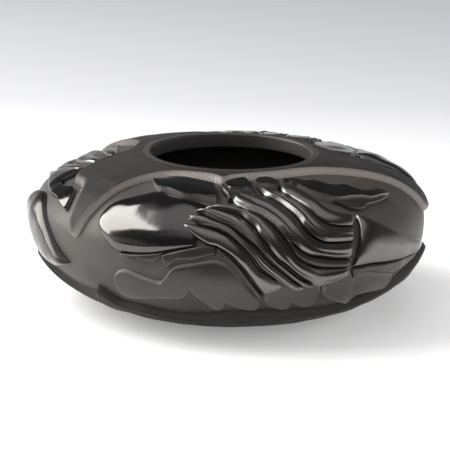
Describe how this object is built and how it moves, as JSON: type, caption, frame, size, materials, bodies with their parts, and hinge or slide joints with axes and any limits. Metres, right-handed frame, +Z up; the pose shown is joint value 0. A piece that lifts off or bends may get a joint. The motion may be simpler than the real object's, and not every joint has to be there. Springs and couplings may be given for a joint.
{
  "type": "carved black clay pot",
  "caption": "Flattened round black clay pot with a wide flat belly, a small open mouth and low relief of leaves, pod and flowing strands carved round it.",
  "frame": {"origin": "middle of the flat base, on the surface that the pot stands on", "axes": "+Z up along the pot's axis, -Y towards the front carved panel, +X to its right"},
  "size_m": [0.1795, 0.1804, 0.0672],
  "materials": {
    "mirror_burnish": "black clay rubbed with a stone to a mirror polish, reduction fired",
    "satin_burnish": "black clay, lightly burnished, satin",
    "ground_burnish": "black clay ground of the carving, scraped level and lightly burnished",
    "matte_clay": "unburnished matte black clay, sandy with fine mica along the cut edges",
    "inner_clay": "raw matte black clay of the inside and the base"
  },
  "bodies": {
    "root": {"base_disc": "inner_clay", "foot_wall": "ground_burnish", "lower_wall": "ground_burnish", "upper_wall": "ground_burnish", "shoulder_wall": "ground_burnish", "lip_ring": "matte_clay", "shoulder_slab": "matte_clay", "base_slab": "matte_clay", "pod_front": "mirror_burnish", "pod_lip_front": "mirror_burnish", "stem_front": "satin_burnish", "cloud_leaf_front": "satin_burnish", "crest_front": "mirror_burnish", "keel_front": "satin_burnish", "tip_left_front": "mirror_burnish", "tip_right_front": "mirror_burnish", "strand_1_front": "mirror_burnish", "strand_2_front": "mirror_burnish", "strand_3_front": "mirror_burnish", "strand_4_front": "mirror_burnish", "strand_5_front": "mirror_burnish", "strand_6_front": "mirror_burnish", "strand_7_front": "mirror_burnish", "strand_8_front": "mirror_burnish", "strand_9_front": "mirror_burnish", "wave_front": "mirror_burnish", "wave_lip_front": "satin_burnish", "horn_front": "mirror_burnish", "horn_fold_front": "satin_burnish", "middle_leaf_front": "satin_burnish", "right_leaf_front": "satin_burnish", "pod_rear": "mirror_burnish", "pod_lip_rear": "mirror_burnish", "stem_rear": "satin_burnish", "cloud_leaf_rear": "satin_burnish", "crest_rear": "mirror_burnish", "keel_rear": "satin_burnish", "tip_left_rear": "mirror_burnish", "tip_right_rear": "mirror_burnish", "strand_1_rear": "mirror_burnish", "strand_2_rear": "mirror_burnish", "strand_3_rear": "mirror_burnish", "strand_4_rear": "mirror_burnish", "strand_5_rear": "mirror_burnish", "strand_6_rear": "mirror_burnish", "strand_7_rear": "mirror_burnish", "strand_8_rear": "mirror_burnish", "strand_9_rear": "mirror_burnish", "wave_rear": "mirror_burnish", "wave_lip_rear": "satin_burnish", "horn_rear": "mirror_burnish", "horn_fold_rear": "satin_burnish", "middle_leaf_rear": "satin_burnish", "right_leaf_rear": "satin_burnish", "hook": "mirror_burnish", "crescent": "mirror_burnish", "finger_1": "mirror_burnish", "finger_2": "mirror_burnish", "finger_3": "mirror_burnish", "side_leaf": "satin_burnish"}
  },
  "joints": []
}
